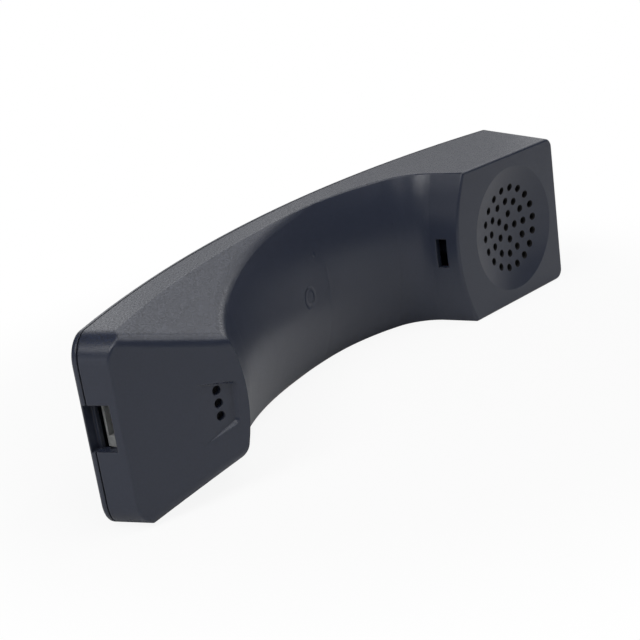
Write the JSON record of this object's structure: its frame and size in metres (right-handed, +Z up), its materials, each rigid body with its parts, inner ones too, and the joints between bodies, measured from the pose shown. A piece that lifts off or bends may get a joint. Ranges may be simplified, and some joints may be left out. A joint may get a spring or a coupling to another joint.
{
  "type": "telephone handset",
  "caption": "Corded desk telephone handset with an arched hollow handle, a tapered mouthpiece, a block earpiece with a dished round grille, and a modular cord socket in its end wall.",
  "frame": {"origin": "centre of the base of the whole box, on the surface that the long side wall rests on", "axes": "+X from the mouthpiece end to the earpiece end, +Y toward the curved back of the handset, so both faces look toward -Y, +Z up across its width as it lies on its side wall"},
  "size_m": [0.2092, 0.0486, 0.047],
  "materials": {
    "shell_plastic": "moulded charcoal plastic with a fine spark texture, satin",
    "acoustic_cloth": "thin black woven cloth",
    "foam": "soft black foam",
    "black_plastic": "plain black moulded plastic",
    "film": "thin clear-grey film",
    "copper_wire": "enamelled copper windings",
    "steel": "zinc-plated steel",
    "magnet_plating": "nickel-plated magnet",
    "screw_steel": "zinc-plated screw",
    "circuit_board": "green solder mask",
    "boot_rubber": "soft black rubber",
    "capsule_metal": "drawn aluminium can",
    "jack_plastic": "smoky moulded plastic of the socket",
    "gold_plating": "gold-plated spring wire",
    "ballast_steel": "plain cut steel bar",
    "wire_sleeve": "thin insulated wire"
  },
  "bodies": {
    "root": {"front_shell": "shell_plastic", "rear_cover": "shell_plastic", "receiver_cloth": "acoustic_cloth", "receiver_gasket": "foam", "receiver_frame": "black_plastic", "receiver_diaphragm": "film", "receiver_coil": "copper_wire", "receiver_top_plate": "steel", "receiver_magnet": "magnet_plating", "receiver_yoke": "steel", "receiver_board": "circuit_board", "receiver_clamp": "black_plastic", "clamp_screws": "screw_steel", "mic_cloth": "acoustic_cloth", "mic_boot": "boot_rubber", "mic_can": "capsule_metal", "mic_board": "circuit_board", "jack_housing": "jack_plastic", "jack_contacts": "gold_plating", "jack_board": "circuit_board", "ballast_weight": "ballast_steel", "ballast_pad": "foam", "ballast_screw": "screw_steel", "receiver_leads": "wire_sleeve", "mic_leads": "wire_sleeve"}
  },
  "joints": []
}
